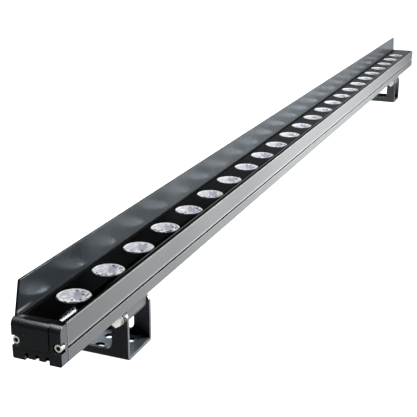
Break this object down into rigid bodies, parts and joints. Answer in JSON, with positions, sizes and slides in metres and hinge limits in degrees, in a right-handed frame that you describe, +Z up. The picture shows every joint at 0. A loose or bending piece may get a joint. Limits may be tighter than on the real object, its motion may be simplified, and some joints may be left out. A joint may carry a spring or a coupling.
{
  "type": "outdoor wall washer light",
  "caption": "Slim linear wall washer: a row of round lenses in a black front plate on a grey extrusion, with a glare shield on one side and two tilting feet.",
  "frame": {"origin": "on the ground plane under the feet, at the middle of the overall length and of the feet's width", "axes": "+X along the lamp from its plain end to its cable end, +Y across it towards the glare shield, +Z up, the way the light shines at rest"},
  "size_m": [1.0154, 0.035, 0.0739],
  "materials": {
    "housing_metal": "satin grey powder coat",
    "shield_metal": "satin dark grey coat",
    "stainless_steel": "turned stainless steel",
    "gloss_black": "polished black",
    "black_rubber": "matt black silicone",
    "chip_plastic": "matt black moulding",
    "lens_plastic": "clear moulded acrylic",
    "board_enamel": "white solder mask",
    "emitter_resin": "yellow phosphor resin",
    "terminal_plastic": "moulded plastic",
    "cap_plastic": "fine grained black moulding",
    "nickel_plate": "nickel plated brass",
    "foot_paint": "satin black powder coat",
    "carrier_metal": "satin anodised"
  },
  "bodies": {
    "near_foot": {"foot_near": "foot_paint", "pivot_bolt_near": "stainless_steel", "flat_washers_near": "stainless_steel", "spring_washer_near": "stainless_steel", "pivot_nut_near": "stainless_steel"},
    "lamp": {"housing": "housing_metal", "glare_shield": "shield_metal", "shield_screws": "stainless_steel", "front_plate": "gloss_black", "front_sealant": "black_rubber", "lens_gasket": "black_rubber", "lens_01": "lens_plastic", "lens_02": "lens_plastic", "lens_03": "lens_plastic", "lens_04": "lens_plastic", "lens_05": "lens_plastic", "lens_06": "lens_plastic", "lens_07": "lens_plastic", "lens_08": "lens_plastic", "lens_09": "lens_plastic", "lens_10": "lens_plastic", "lens_11": "lens_plastic", "lens_12": "lens_plastic", "lens_13": "lens_plastic", "lens_14": "lens_plastic", "lens_15": "lens_plastic", "lens_16": "lens_plastic", "lens_17": "lens_plastic", "lens_18": "lens_plastic", "lens_19": "lens_plastic", "lens_20": "lens_plastic", "lens_21": "lens_plastic", "lens_22": "lens_plastic", "lens_23": "lens_plastic", "lens_24": "lens_plastic", "led_board": "board_enamel", "led_emitters": "emitter_resin", "board_screws": "stainless_steel", "terminal_block": "terminal_plastic", "current_regulators": "chip_plastic", "end_cap_near": "cap_plastic", "end_gasket_near": "black_rubber", "cap_screws_near": "stainless_steel", "end_cap_far": "cap_plastic", "end_gasket_far": "black_rubber", "cap_screws_far": "stainless_steel", "gland_body": "nickel_plate", "gland_seal": "black_rubber", "gland_dome_nut": "nickel_plate", "carrier_near": "carrier_metal", "carrier_screws_near": "stainless_steel", "carrier_far": "carrier_metal", "carrier_screws_far": "stainless_steel"},
    "far_foot": {"foot_far": "foot_paint", "pivot_bolt_far": "stainless_steel", "flat_washers_far": "stainless_steel", "spring_washer_far": "stainless_steel", "pivot_nut_far": "stainless_steel"}
  },
  "joints": [
    {"name": "near_tilt", "type": "hinge", "parent": "near_foot", "child": "lamp", "pos_m": [-0.41965, -0.012, 0.0265], "axis": [1, 0, 0], "range_deg": [-60, 90]},
    {"name": "far_tilt", "type": "hinge", "parent": "lamp", "child": "far_foot", "pos_m": [0.38285, -0.012, 0.0265], "axis": [1, 0, 0], "range_deg": [-90, 60]}
  ],
  "couplings": [
    {"joint": "far_tilt", "follows": "near_tilt", "ratio": -1}
  ]
}
